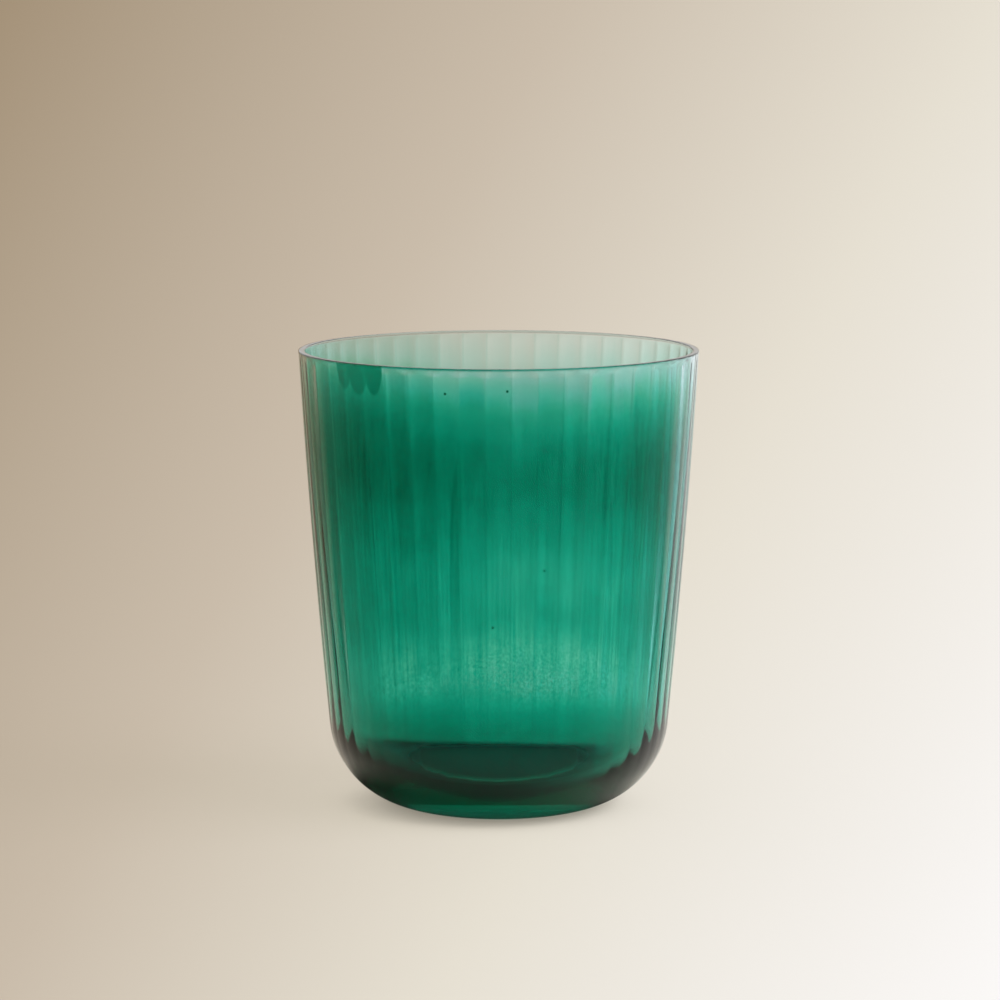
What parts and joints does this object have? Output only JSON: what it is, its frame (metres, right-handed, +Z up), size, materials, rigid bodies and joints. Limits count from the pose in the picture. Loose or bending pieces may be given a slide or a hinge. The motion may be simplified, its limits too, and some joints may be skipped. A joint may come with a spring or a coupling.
{
  "type": "water glass",
  "caption": "Stemless water tumbler of cased glass: clear reeded outside with a rounded heel, a ground foot and a thin lip, green lining inside that fades towards the rim.",
  "frame": {"origin": "centre of the flat foot that the glass stands on", "axes": "+Z up along the glass's axis, -Y towards the viewer of the picture, +X to the viewer's right"},
  "size_m": [0.08, 0.08, 0.092],
  "materials": {
    "clear_glass": "polished clear glass with a reeded outside and a ground foot",
    "green_glass": "smooth green glass, paler towards the rim"
  },
  "bodies": {
    "root": {"clear_casing": "clear_glass", "green_lining": "green_glass"}
  },
  "joints": []
}
